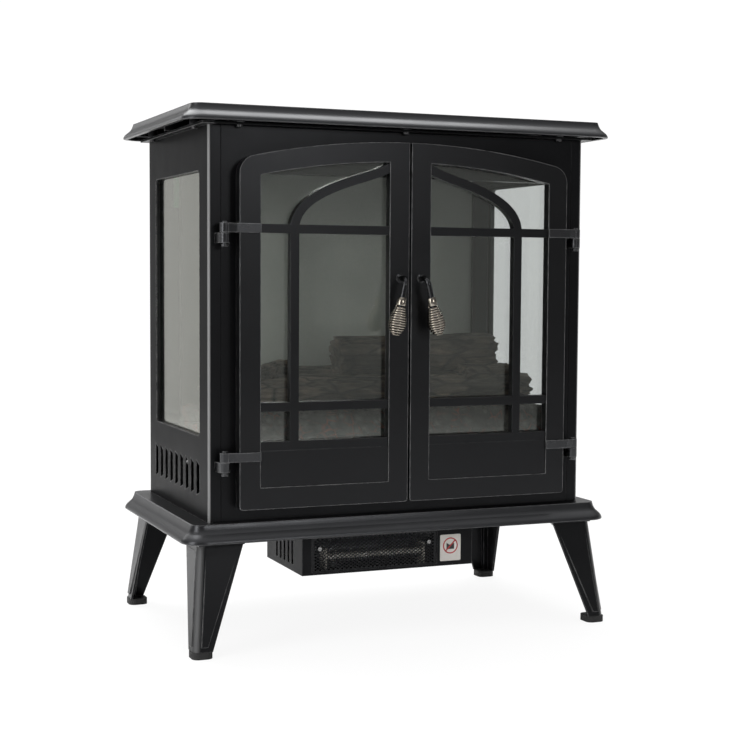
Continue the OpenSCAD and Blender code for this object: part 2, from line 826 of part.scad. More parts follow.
// Bright strips standing round the spindle, each row turned a little further
module rotor_vanes() {
  rows = 9;
  pitch = (rotor_x1 - rotor_x0 - 20) / rows;
  strip = 0.6;
  color([0.85, 0.86, 0.88]) placed() difference() {
    for (i = [0:rows - 1]) for (a = [0, 120, 240])
      translate([rotor_x0 + 10 + i * pitch, rotor_y, rotor_z]) rotate([a + i * 40, 0, 0])
        translate([2, 0, -strip / 2]) cube([pitch - 6, rotor_r, strip]);
    translate([rotor_x0, rotor_y, rotor_z]) rotate([0, 90, 0])
      cylinder(r = spindle_r, h = rotor_x1 - rotor_x0);
  }
}

module rotor_bracket() {
  at_x = rotor_x0 - 8;
  color([0.5, 0.5, 0.52]) placed() difference() {
    union() {
      block([at_x, rotor_y - 10, floor_z], [at_x + 2, rotor_y + 10, rotor_z + 10]);
      block([at_x - 14, rotor_y - 10, floor_z], [at_x + 2, rotor_y + 10, floor_z + 1.5]);
      translate([at_x - 3, rotor_y, rotor_z]) rotate([0, 90, 0]) cylinder(r = 6, h = 8);
    }
    translate([at_x - 10, rotor_y, rotor_z]) rotate([0, 90, 0]) cylinder(r = spindle_r + 0.05, h = 20);
  }
}

module flame_motor() {
  at_x = rotor_x1 + 8;
  color([0.55, 0.55, 0.5]) placed() difference() {
    union() {
      translate([at_x, rotor_y, rotor_z]) rotate([0, 90, 0]) cylinder(r = 20, h = 18);
      block([at_x, rotor_y - 24, floor_z], [at_x + 1.5, rotor_y + 24, rotor_z + 24]);
      block([at_x, rotor_y - 24, floor_z], [at_x + 20, rotor_y + 24, floor_z + 1.5]);
    }
    translate([at_x - 1, rotor_y, rotor_z]) rotate([0, 90, 0]) cylinder(r = spindle_r + 0.05, h = 10);
  }
}

module led_strip() {
  count = 18;
  span = 300;
  color([0.9, 0.9, 0.85]) placed() {
    block([-span / 2, screen_y - 14, floor_z + 34], [span / 2, screen_y - 12.4, floor_z + 48]);
    for (i = [0:count - 1])
      translate([-span / 2 + (i + 0.5) * span / count, screen_y - 10.8, floor_z + 41])
        cube([4, 3.2, 4], center = true);
    for (x = [-span / 2 + 10, span / 2 - 16])
      block([x, screen_y - 15.5, floor_z], [x + 6, screen_y - 14, floor_z + 46]);
  }
}

// ---------------------------------------------------------------- controls

module control_plate() {
  color([0.15, 0.15, 0.15]) placed() difference() {
    upright(half_d - sheet, half_d + 0.5) difference() {
      translate([ctrl_x - ctrl_w / 2, ctrl_z - ctrl_h / 2]) square([ctrl_w, ctrl_h]);
      for (x = rocker_x) translate([x - 8, ctrl_z - 13]) square([16, 26]);
      for (x = knob_x) translate([x, ctrl_z]) circle(3.05);
    }
    at_control_screws() screw_hole();
  }
}

module control_board() {
  y1 = half_d - 18;
  post_r = 2.5;
  color([0.1, 0.35, 0.2]) placed() {
    block([ctrl_x - 70, y1 - 1.6, ctrl_z - 20], [ctrl_x + 70, y1, ctrl_z + 20]);
    for (x = knob_x) translate([x, y1, ctrl_z]) rotate([-90, 0, 0]) cylinder(r = 8, h = 7);
    for (x = rocker_x) difference() {
      block([x - 9.5, y1, ctrl_z - 14.5], [x + 9.5, half_d - sheet, ctrl_z + 14.5]);
      block([x - 7.6, y1 + 3, ctrl_z - 13], [x + 7.6, half_d, ctrl_z + 13]);
      translate([x, half_d - rocker_set, ctrl_z]) rotate([0, 90, 0])
        cylinder(r = 1.55, h = 18, center = true);
    }
    for (x = [-64, 64]) for (z = [-15, 15])
      translate([ctrl_x + x, y1 - eps, ctrl_z + z]) rotate([-90, 0, 0])
        cylinder(r = post_r, h = 18 - sheet + eps);
    block([ctrl_x - 20, y1 - 14, ctrl_z - 16], [ctrl_x + 6, y1 - 1.6, ctrl_z + 10]);
  }
}

// A rocker: a dished key on a short axle, drawn switched off, with its lower end pressed in
module rocker(x) {
  color([0.05, 0.05, 0.05]) placed()
    translate([x, half_d - rocker_set, ctrl_z]) rotate([-rocker_tilt, 0, 0]) {
      rotate([90, 0, 90]) translate([rocker_set, 0, -7]) linear_extrude(14) difference() {
        polygon([[-8, -10.5], [1, -10.5], [3.5, -11.5], [3.5, 11.5], [1, 10.5], [-8, 10.5]]);
        translate([30, 0]) circle(28.6);
      }
      rotate([0, 90, 0]) cylinder(r = 1.5, h = 17, center = true);
    }
}

// A control knob on its spindle, with a pointer rib
module knob(x) {
  height = 13;
  color([0.06, 0.06, 0.06]) placed() translate([x, half_d + 1.2, ctrl_z]) rotate([-90, 0, 0]) {
    difference() {
      cylinder(r = knob_r, h = height);
      for (i = [0:15]) rotate(i * 22.5) translate([knob_r + 1.2, 0, 3]) cylinder(r = 2, h = height);
    }
    translate([-1, 0, height - eps]) cube([2, knob_r - 2, 1.2]);
    translate([0, 0, -12]) cylinder(r = 3, h = 12 + eps);
  }
}

module cord_gland() {
  color([0.08, 0.08, 0.08]) placed() translate([gland_x, half_d - sheet, gland_z])
    rotate([-90, 0, 0]) difference() {
    union() {
      translate([0, 0, -gland_back]) cylinder(r = 8, h = gland_back + eps);
      cylinder(r = 11, h = 4);
      translate([0, 0, 4 - eps]) cylinder(r = 7.5, h = gland_out - 4);
      translate([0, 0, -sheet - 4]) cylinder(r = 11, h = 4);
    }
    translate([0, 0, -20]) cylinder(r = cord_r, h = 40);
  }
}

// ---------------------------------------------------------------- doors

// Outline of the right door in x and z, moved inwards by i on every side
module door_outline(i) {
  x0 = door_in + i;
  x1 = door_out - i;
  z0 = door_z + i;
  r = arch_r - i;
  c = max(corner_r - i, 4);
  foot = 4;
  corner_x = x1 - c;
  corner_z = arch_c + sqrt((r - c) * (r - c) - corner_x * corner_x);
  ray = [corner_x, corner_z - arch_c] / (r - c);
  intersection() {
    translate([0, arch_c]) circle(r, $fn = 360);
    polygon([
      [x0, z0 + foot], [x0 + foot, z0], [x1 - foot, z0], [corner_x, z0 + foot], [corner_x, corner_z],
      [0, arch_c] + (r + 10) * ray, [x0, arch_z + 10]
    ]);
  }
  translate([x1 - 2 * c, z0 + foot]) square([2 * c, corner_z - z0 - foot]);
  translate([corner_x, z0]) square([c - foot, foot + eps]);
  translate([corner_x, corner_z]) circle(c);
  for (x = [x0 + foot, x1 - foot]) translate([x, z0 + foot]) circle(foot);
}

// The glazed opening in the right door, moved outwards by i on every side
module door_opening(i) {
  intersection() {
    translate([0, arch_c]) circle(arch_r - rail_w + i, $fn = 360);
    translate([pane_in - i, pane_z - i]) square([pane_out - pane_in + 2 * i, arch_z - pane_z]);
  }
}

// A pressed shell: a front plate with a deep outer wall and a shallow wall round the opening
module door_frame(side) {
  wall = 2;
  bezel = 2;
  seat = door_back - glass_t;
  color([0.11, 0.11, 0.11]) placed() on_side(side) difference() {
    union() {
      upright(door_front, door_front + bezel) difference() {
        door_outline(0);
        door_opening(0);
      }
      upright(door_front, door_back) difference() {
        door_outline(0);
        door_outline(wall);
      }
      upright(door_front, seat) difference() {
        door_opening(wall);
        door_opening(0);
      }
    }
    handle_bore(rod_r + 0.1);
  }
}

module handle_bore(r) {
  translate([handle_x, door_back + 5, handle_z]) rotate([90, 0, 0]) cylinder(r = r, h = door_t + 10);
}

// Centre line of the swept bar in the arch, from the meeting stile out to the post
swept_bar = concat(
  curve([pane_in - 1, 582], [50, 571], [72, 567], [95, 558], 8),
  [for (p = curve([95, 558], [120, 548], [149.5, 533], [149.5, bar_high + bar_w / 2], 12))
    if (p[0] > 95.1) p]
);

module door_lattice(side) {
  front = door_front + lattice_set;
  back = door_back - glass_t;
  color([0.13, 0.13, 0.13]) placed() on_side(side) {
    upright(front, back) intersection() {
      door_opening(0);
      union() {
        for (z = [bar_mid, bar_high]) translate([pane_in, z]) square([pane_out - pane_in, bar_w - 0.4]);
        translate([pane_in, bar_low]) square([pane_out - pane_in, bar_w]);
        translate([post_in, pane_z]) square([bar_w, bar_high + bar_w / 2 - pane_z]);
        polygon(concat(beside(swept_bar, bar_w / 2), reversed(beside(swept_bar, -bar_w / 2))));
      }
    }
    upright(front - 0.7, front + 2.5) translate([pane_in + 0.2, pane_z + 0.2])
      square([pane_out - pane_in - 0.4, bar_low - pane_z - 0.2]);
  }
}

module door_glass(side) {
  color([0.35, 0.36, 0.33, 0.5]) placed() on_side(side)
    upright(door_back - glass_t, door_back) door_opening(7);
}

// The sheet that closes the back of the door and holds the glass
module door_liner(side) {
  color([0.1, 0.1, 0.1]) placed() on_side(side) difference() {
    upright(door_back, door_back + liner_t) difference() {
      door_outline(0.4);
      door_opening(1);
    }
    handle_bore(rod_r + 0.1);
  }
}

// Plan of a hinge strap, from the lattice's edge to the knuckle
module strap_plan() {
  thick = 2.5;
  polygon([
    [pane_out, door_front - thick], [door_out + 4, door_front - thick], [hinge_x - 2, hinge_y - 5],
    [hinge_x - 5, hinge_y + 2], [door_out + 1, door_front], [pane_out, door_front]
  ]);
  translate([hinge_x, hinge_y]) circle(knuckle_r);
}

module hinge_straps(side) {
  color([0.12, 0.12, 0.12]) placed() on_side(side) for (z = [hinge_upper, hinge_lower])
    translate([0, 0, z]) difference() {
      linear_extrude(knuckle_h - 1) strap_plan();
      translate([hinge_x, hinge_y, -1]) cylinder(r = pin_r + pin_play, h = knuckle_h + 2);
    }
}

// Plan of the fixed half of a hinge: a knuckle on a foot that flares towards the fascia
module bracket_plan() {
  flare = 8.5;
  translate([hinge_x, hinge_y]) circle(knuckle_r);
  polygon([
    [hinge_x - knuckle_r, hinge_y], [hinge_x + knuckle_r, hinge_y],
    [hinge_x + flare, -half_d], [hinge_x - flare, -half_d]
  ]);
}

module hinge_brackets() {
  gap = 0.5;
  color([0.14, 0.14, 0.14]) placed() both_sides() for (z = [hinge_upper, hinge_lower])
    translate([0, 0, z - knuckle_h - gap]) difference() {
      linear_extrude(knuckle_h) bracket_plan();
      translate([hinge_x, hinge_y, -1]) cylinder(r = pin_r + 0.03, h = knuckle_h + 2);
    }
}

module hinge_pins() {
  below = 3;
  above = 2;
  color("silver") placed() both_sides() for (z = [hinge_upper, hinge_lower])
    translate([hinge_x, hinge_y, z - knuckle_h - 0.5 - below]) {
      cylinder(r = pin_r, h = below + 2 * knuckle_h - 0.5 + above);
      translate([0, 0, -1]) cylinder(r = pin_r + 1.2, h = 2.5);
    }
}

module door_magnets() {
  color([0.25, 0.25, 0.26]) placed() both_sides()
    block([8, door_back + liner_t + 0.4, 594], [24, -half_d, 606]);
}

// The rod: a threaded root with a flange, a bend, and the straight drop that holds the grip
module handle_rod(side) {
  root = door_back + liner_t + 4;
  straight = door_front - handle_reach + rod_bend;
  color([0.03, 0.03, 0.03]) placed() on_side(side) translate([handle_x, 0, handle_z])
    rotate([0, -handle_lean, 0]) {
    translate([0, root, 0]) rotate([90, 0, 0]) cylinder(r = rod_r, h = root - straight);
    translate([0, door_front, 0]) rotate([90, 0, 0]) cylinder(r = 5.5, h = 1.5);
    translate([0, root - 0.8, 0]) rotate([90, 0, 0]) cylinder(r = 5.5, h = 3.2, $fn = 6);
    translate([0, straight, -rod_bend]) rotate([0, -90, 0]) rotate([0, 0, -90])
      rotate_extrude(angle = 90) translate([rod_bend, 0]) circle(rod_r);
    translate([0, door_front - handle_reach, -rod_drop]) cylinder(r = rod_r, h = rod_drop - rod_bend + eps);
  }
}

// Radius of the grip's turns: narrow at the collar, widest two thirds down, closed at the tip
function turn_r(i) =
  let (t = i / (grip_turns - 1))
  t < 0.62 ? 5.4 + (grip_d / 2 - 7.5) * sin(90 * t / 0.62) :
    3.6 + (grip_d / 2 - 5.7) * cos(90 * (t - 0.62) / 0.38);

module handle_grip(side) {
  wire = 2.1;
  collar = 10;
  color([0.64, 0.62, 0.58]) placed() on_side(side) translate([handle_x, 0, handle_z])
    rotate([0, -handle_lean, 0])
    translate([0, door_front - handle_reach, -grip_top]) rotate_extrude() difference() {
      union() {
        translate([rod_r, -collar]) square([2, collar]);
        translate([rod_r + 0.3, -collar - grip_turns * grip_pitch + 1]) square([1, grip_turns * grip_pitch]);
        for (i = [0:grip_turns - 1]) grip_turn(i, collar, wire);
      }
      square([2 * rod_r + 0.1, 400], center = true);
    }
}

// One turn of the grip's wire, with a short web that ties it to the sleeve
module grip_turn(i, collar, wire) {
  drop = -collar - 1.5 - i * grip_pitch;
  translate([turn_r(i), drop]) circle(wire);
  translate([rod_r + 0.3, drop - 0.4]) square([turn_r(i) - rod_r, 0.8]);
}

base_slab();
top_slab();
top_plate();
front_fascia();
side_panel(-1);  // left_side_panel
side_panel(1);  // right_side_panel
rear_panel();
firebox_floor();
window_frames();
window_panes();
leg(-1, 0);  // leg_front_left
leg(1, 0);  // leg_front_right
leg(-1, 1);  // leg_rear_left
leg(1, 1);  // leg_rear_right
foot_pads();
leg_bolts();
slab_screws();
panel_screws();
heater_box();
heater_grille();
heating_element();
element_support();
fan_housing();
fan_motor();
thermal_cutout();
caution_label();
fan_wheel();
log_set();
ember_bed();
flame_screen();
screen_brackets();
flame_motor();
rotor_bracket();
led_strip();
rotor_spindle();
rotor_vanes();
control_plate();
control_board();
cord_gland();
rocker(rocker_x[0]);  // power_rocker
rocker(rocker_x[1]);  // heat_rocker
knob(knob_x[0]);  // thermostat_knob
knob(knob_x[1]);  // flame_knob
hinge_brackets();
hinge_pins();
door_magnets();
door_frame(-1);  // left_door_frame
door_lattice(-1);  // left_door_lattice
door_glass(-1);  // left_door_glass
door_liner(-1);  // left_door_liner
hinge_straps(-1);  // left_hinge_straps
handle_rod(-1);  // left_handle_rod
handle_grip(-1);  // left_handle_grip
door_frame(1);  // right_door_frame
door_lattice(1);  // right_door_lattice
door_glass(1);  // right_door_glass
door_liner(1);  // right_door_liner
hinge_straps(1);  // right_hinge_straps
handle_rod(1);  // right_handle_rod
handle_grip(1);  // right_handle_grip
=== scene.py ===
import math
import random

import bmesh
import bpy
from mathutils import Matrix, Vector, noise

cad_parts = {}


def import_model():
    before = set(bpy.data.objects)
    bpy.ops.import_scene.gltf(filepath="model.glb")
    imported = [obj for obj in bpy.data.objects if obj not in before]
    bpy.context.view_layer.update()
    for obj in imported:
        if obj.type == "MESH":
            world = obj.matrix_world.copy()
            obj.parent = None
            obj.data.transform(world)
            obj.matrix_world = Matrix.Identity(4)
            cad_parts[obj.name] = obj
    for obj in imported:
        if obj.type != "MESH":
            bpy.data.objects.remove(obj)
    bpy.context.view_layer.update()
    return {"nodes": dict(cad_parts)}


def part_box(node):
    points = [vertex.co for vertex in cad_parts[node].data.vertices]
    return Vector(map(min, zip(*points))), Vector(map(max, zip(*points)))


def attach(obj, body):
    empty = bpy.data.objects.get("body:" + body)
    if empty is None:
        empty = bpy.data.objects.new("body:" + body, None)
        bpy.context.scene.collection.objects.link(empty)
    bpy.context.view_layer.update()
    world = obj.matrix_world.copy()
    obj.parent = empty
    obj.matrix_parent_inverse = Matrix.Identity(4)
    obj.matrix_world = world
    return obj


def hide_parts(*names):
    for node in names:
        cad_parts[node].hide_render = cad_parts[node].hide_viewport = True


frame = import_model()
NODES = frame["nodes"]


# ------------------------------------------------------------------ shader helpers

class Nodes:
    """A node tree, emptied and built by calls. Inputs are given by name, as values or as sockets."""

    def __init__(self, tree):
        self.tree = tree
        self.tree.nodes.clear()

    def node(self, kind, inputs=None, **props):
        n = self.tree.nodes.new("ShaderNode" + kind)
        for key, value in props.items():
            setattr(n, key, value)
        for key, value in (inputs or {}).items():
            if isinstance(value, bpy.types.NodeSocket):
                self.tree.links.new(value, n.inputs[key])
            else:
                n.inputs[key].default_value = value
        return n

    def span(self, value, low, high, to_low=0.0, to_high=1.0, **props):
        """Carries low..high to to_low..to_high and stops at both ends."""
        return self.node("MapRange", {
            "Value": value, "From Min": low, "From Max": high, "To Min": to_low, "To Max": to_high,
        }, **props).outputs["Result"]

    def math(self, operation, a, b=0.0, clamp=False):
        n = self.node("Math", {0: a, 1: b}, operation=operation)
        n.use_clamp = clamp
        return n.outputs["Value"]


class Shader(Nodes):
    """The nodes of one material, with the textures and mixes that the finishes share."""

    def __init__(self, name):
        self.material = bpy.data.materials.new(name)
        self.material.use_nodes = True
        super().__init__(self.material.node_tree)
        self.out = self.node("OutputMaterial")

    def place(self, scale=(1, 1, 1)):
        """The point on the piece in metres, stretched by scale."""
        coords = self.node("TexCoord").outputs["Object"]
        return self.node("Mapping", {"Vector": coords, "Scale": scale}).outputs["Vector"]

    def noise(self, scale, detail=4.0, rough=0.55, at=None, distortion=0.0):
        return self.node("TexNoise", {
            "Vector": at or self.place(), "Scale": scale, "Detail": detail,
            "Roughness": rough, "Distortion": distortion,
        }).outputs["Fac"]

    def cells(self, scale, at=None, feature="F1"):
        n = self.node("TexVoronoi", {"Vector": at or self.place(), "Scale": scale}, feature=feature)
        return n.outputs["Distance"]

    def blend(self, factor, a, b):
        n = self.node("Mix", data_type="RGBA")
        for socket, value in ((n.inputs[0], factor), (n.inputs[6], a), (n.inputs[7], b)):
            if isinstance(value, bpy.types.NodeSocket):
                self.tree.links.new(value, socket)
            elif isinstance(value, (int, float)):
                socket.default_value = value
            else:
                socket.default_value = (*value[:3], 1)
        return n.outputs[2]

    def ramp(self, value, stops):
        n = self.node("ValToRGB", {"Fac": value})
        marks = n.color_ramp.elements
        while len(marks) < len(stops):
            marks.new(0.5)
        for mark, (at, colour) in zip(marks, stops):
            mark.position = at
            mark.color = (*colour, 1)
        return n.outputs["Color"]

    def rounded(self, radius):
        """The normal as if each edge had this radius."""
        return self.node("Bevel", {"Radius": radius}, samples=4).outputs["Normal"]

    def edges(self, radius):
        """1 on an edge, falling to 0 at about radius from it."""
        soft = self.rounded(radius)
        true = self.node("NewGeometry").outputs["Normal"]
        same = self.node("VectorMath", {0: soft, 1: true}, operation="DOT_PRODUCT").outputs["Value"]
        return self.span(same, 0.995, 0.8)

    def bump(self, height, strength, distance, under=None):
        inputs = {"Height": height, "Strength": strength, "Distance": distance}
        if under is not None:
            inputs["Normal"] = under
        return self.node("Bump", inputs).outputs["Normal"]

    def done(self, surface):
        self.tree.links.new(surface, self.out.inputs["Surface"])
        return self.material

    def principled(self, **inputs):
        names = {key.replace("_", " "): value for key, value in inputs.items()}
        return self.node("BsdfPrincipled", names).outputs["BSDF"]


def varied(colour, less, more, add=0.0):
    """A darker and a lighter form of a colour, to blend between."""
    return [c * less for c in colour], [c * more + add for c in colour]


# How far from an edge the coats are rubbed and given a painted highlight, the radius that pressed sheet is
# shaded with, and the worn edge of small parts, in metres.
RUB_AND_HIGHLIGHT_REACH = 0.0016
PRESSED = 0.0013
FINE_EDGE = 0.0006


def coat(name, colour, rough, grain=1100, grain_depth=0.00005, wear_and_highlight=0.5, spec=0.5, flank=None,
         bend=0.0, lighter_edges_from=None):
    """Powder coat or paint: orange peel, faint cloudiness, and edges painted a little brighter, part wear
    and part painted highlight.

    flank is the gloss of the faces to left and right, bend paints a highlight onto the upright rounded
    corners, and lighter_edges_from keeps the lighter edges to what is further out than that from the middle.
    """
    s = Shader(name)
    cloud = s.noise(9, 5, 0.6)
    peel = s.noise(grain, 2, 0.5)
    smear = s.noise(22, 4, 0.55)
    edge = s.edges(RUB_AND_HIGHLIGHT_REACH)
    # Edges painted lighter: part wear, part a painted highlight along the edges.
    worn_and_highlit_edges = s.math("MULTIPLY", edge, s.span(s.noise(90, 4, 0.6), 0.2, 0.6))
    if lighter_edges_from:
        out = s.math("ABSOLUTE", s.node("SeparateXYZ", {"Vector": s.place()}).outputs["X"])
        worn_and_highlit_edges = s.math("MULTIPLY", worn_and_highlit_edges, s.span(out, lighter_edges_from - 0.001, lighter_edges_from))
    facing = s.node("SeparateXYZ", {"Vector": s.node("NewGeometry").outputs["Normal"]}).outputs
    # Painted highlight: upright rounded corners, found by facing half to the side and half to the front, are
    # lightened.
    if bend:
        diagonal = s.math("ABSOLUTE", s.math("MULTIPLY", facing["X"], facing["Y"]))
        worn_and_highlit_edges = s.math("MAXIMUM", worn_and_highlit_edges, s.span(diagonal, 0.15, 0.45, 0.0, bend))
    if flank is not None:
        spec = s.span(s.math("ABSOLUTE", facing["X"]), 0.5, 0.95, spec, flank)
    body = s.blend(s.span(cloud, 0.3, 0.7), *varied(colour, 0.8, 1.2))
    # Lightens the base colour on edges and corners: a painted highlight, with some wear.
    body = s.blend(s.math("MULTIPLY", worn_and_highlit_edges, wear_and_highlight), body, [c * 3 + 0.32 for c in colour])
    gloss = s.span(smear, 0.3, 0.72, rough - 0.025, rough + 0.03)
    gloss = s.math("SUBTRACT", gloss, s.math("MULTIPLY", edge, 0.06))
    normal = s.bump(peel, 0.35, grain_depth, s.rounded(PRESSED))
    return s.done(s.principled(Base_Color=body, Roughness=gloss, Normal=normal, Specular_IOR_Level=spec,
                               Specular_Tint=(0.93, 0.95, 1.0, 1)))


def metal(name, colour, rough, brush=(1, 1, 1), scale=300, stain=0.3):
    """Bare or plated metal with fine brushing, tarnish and bright edges."""
    s = Shader(name)
    lines = s.noise(scale, 5, 0.65, at=s.place(brush))
    patch = s.noise(60, 6, 0.6)
    edge = s.edges(FINE_EDGE)
    dull = [c * (1 - stain) for c in colour]
    body = s.blend(s.span(patch, 0.35, 0.72), colour, dull)
    body = s.blend(s.math("MULTIPLY", edge, 0.5), body, [min(1, c * 1.25) for c in colour])
    gloss = s.span(s.math("ADD", s.math("MULTIPLY", lines, 0.6), s.math("MULTIPLY", patch, 0.4)),
                   0.3, 0.7, max(0.05, rough - 0.08), rough + 0.12)
    normal = s.bump(lines, 0.3, 0.00004)
    return s.done(s.principled(Base_Color=body, Metallic=1.0, Roughness=gloss, Normal=normal))


def plastic(name, colour, rough, scale=2000, depth=0.00003):
    """Moulded plastic or rubber: fine spark texture and slightly shiny edges."""
    s = Shader(name)
    tex = s.noise(scale, 3, 0.6)
    cloud = s.noise(40, 4, 0.6)
    body = s.blend(cloud, *varied(colour, 0.8, 1.25, 0.004))
    gloss = s.span(cloud, 0.3, 0.7, rough - 0.06, rough + 0.08)
    gloss = s.math("SUBTRACT", gloss, s.math("MULTIPLY", s.edges(FINE_EDGE), 0.1))
    normal = s.bump(tex, 0.4, depth)
    return s.done(s.principled(Base_Color=body, Roughness=gloss, Normal=normal))


def glass(name, tint, ior, sheen):
    """Tinted sheet glass that lets lamps through, with faint smears in its gloss.

    sheen is the colour that its reflections take on.
    """
    s = Shader(name)
    smear = s.noise(26, 6, 0.7, at=s.place((1, 1, 0.4)))
    gloss = s.span(smear, 0.45, 0.8, 0.0, 0.008)
    tone = s.noise(5, 3, 0.5)
    colour = s.blend(tone, [c * 0.97 for c in tint], [min(1, c * 1.03) for c in tint])
    pane = s.principled(Base_Color=colour, Roughness=gloss, Transmission_Weight=1.0, IOR=ior,
                        Specular_Tint=(*sheen, 1))
    through = s.node("BsdfTransparent", {"Color": colour}).outputs["BSDF"]
    shadow = s.node("LightPath").outputs["Is Shadow Ray"]
    return s.done(s.node("MixShader", {0: shadow, 1: pane, 2: through}).outputs["Shader"])


# ------------------------------------------------------------------ mesh helpers

def piece(name, verts, faces, body, materials, smooth=True, which=None, replaces=None):
    """A new object from plain lists, smooth or flat, riding on a CAD body."""
    mesh = bpy.data.meshes.new(name)
    mesh.from_pydata([tuple(v) for v in verts], [], [tuple(f) for f in faces])
    mesh.update()
    for m in materials:
        mesh.materials.append(m)
    mesh.polygons.foreach_set("use_smooth", [smooth] * len(mesh.polygons))
    if which:
        mesh.polygons.foreach_set("material_index", which)
    tidy = bmesh.new()
    tidy.from_mesh(mesh)
    bmesh.ops.recalc_face_normals(tidy, faces=tidy.faces)
    tidy.to_mesh(mesh)
    tidy.free()
    obj = bpy.data.objects.new(name, mesh)
    bpy.context.scene.collection.objects.link(obj)
    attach(obj, body)
    if replaces:
        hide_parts(replaces)
    return obj


def frames(path):
    """A pair of axes across the path at each point, turned as little as possible between points."""
    out = []
    side = None
    for i in range(len(path)):
        along = (path[min(i + 1, len(path) - 1)] - path[max(i - 1, 0)]).normalized()
        if side is None:
            side = along.orthogonal().normalized()
        side = (side - along * side.dot(along)).normalized()
        out.append((side, along.cross(side)))
    return out


def tube(path, radius, sides=10, verts=None, faces=None):
    """Adds a round bar along path to verts and faces, with both ends closed."""
    verts = [] if verts is None else verts
    faces = [] if faces is None else faces
    start = len(verts)
    for i, (p, (u, v)) in enumerate(zip(path, frames(path))):
        r = radius(i / (len(path) - 1)) if callable(radius) else radius
        for k in range(sides):
            a = 2 * math.pi * k / sides
            verts.append(p + u * (r * math.cos(a)) + v * (r * math.sin(a)))
    for i in range(len(path) - 1):
        for k in range(sides):
            a = start + i * sides + k
            b = start + i * sides + (k + 1) % sides
            faces.append((a, b, b + sides, a + sides))
    faces.append(tuple(range(start + sides - 1, start - 1, -1)))
    last = start + (len(path) - 1) * sides
    faces.append(tuple(range(last, last + sides)))
    return verts, faces


def winding(turns, steps, point):
    """A path of so many turns, with point(share, angle) for each of its points."""
    total = turns * steps
    shares = [i / total for i in range(total + 1)]
    return [point(t, 2 * math.pi * turns * t) for t in shares]


def lathe(profile, sides, matrix, verts, faces):
    """Turns a closed profile of (radius, height) points about the local Z axis."""
    start = len(verts)
    n = len(profile)
    for k in range(sides):
        a = 2 * math.pi * k / sides
        for r, z in profile:
            verts.append(matrix @ Vector((r * math.cos(a), r * math.sin(a), z)))
    for k in range(sides):
        j = (k + 1) % sides
        for i in range(n):
            m = (i + 1) % n
            faces.append((start + k * n + i, start + k * n + m, start + j * n + m, start + j * n + i))


def screw_finish():
    """Blackened screws, with bright ones on the heater's grille, the only ones below the cut."""
    s = Shader("screw_finish")
    z = s.node("SeparateXYZ", {"Vector": s.place()}).outputs["Z"]
    cut = 0.130
    bright = s.span(z, cut + 0.001, cut - 0.001)
    patch = s.noise(500, 5, 0.6)
    edge = s.edges(0.0005)
    dark = s.blend(patch, (0.020, 0.020, 0.021), (0.05, 0.05, 0.052))
    # Edges painted lighter: part wear, part a painted highlight.
    dark = s.blend(edge, dark, (0.16, 0.16, 0.16))
    zinc = s.blend(patch, (0.42, 0.42, 0.41), (0.24, 0.24, 0.24))
    gloss = s.span(patch, 0.3, 0.7, 0.24, 0.38)
    normal = s.bump(patch, 0.3, 0.00003)
    return s.done(s.principled(Base_Color=s.blend(bright, dark, zinc), Metallic=bright, Roughness=gloss,
                               Normal=normal))


def satin_screen():
    """Satin grey acrylic: it scatters most of the light and lets only a little through."""
    s = Shader("satin_acrylic")
    cloud = s.noise(7, 4, 0.55)
    fine = s.noise(900, 3, 0.6)
    colour = s.blend(cloud, (0.36, 0.37, 0.35), (0.44, 0.45, 0.43))
    gloss = s.span(fine, 0.3, 0.7, 0.22, 0.32)
    normal = s.bump(fine, 0.25, 0.00003)
    solid = s.principled(Base_Color=colour, Roughness=gloss, Normal=normal)
    lets = s.node("BsdfTranslucent", {"Color": (0.30, 0.30, 0.28, 1), "Normal": normal}).outputs["BSDF"]
    return s.done(s.node("MixShader", {0: 0.3, 1: solid, 2: lets}).outputs["Shader"])


# ------------------------------------------------------------------ materials

SMOKED = (0.80, 0.82, 0.79)

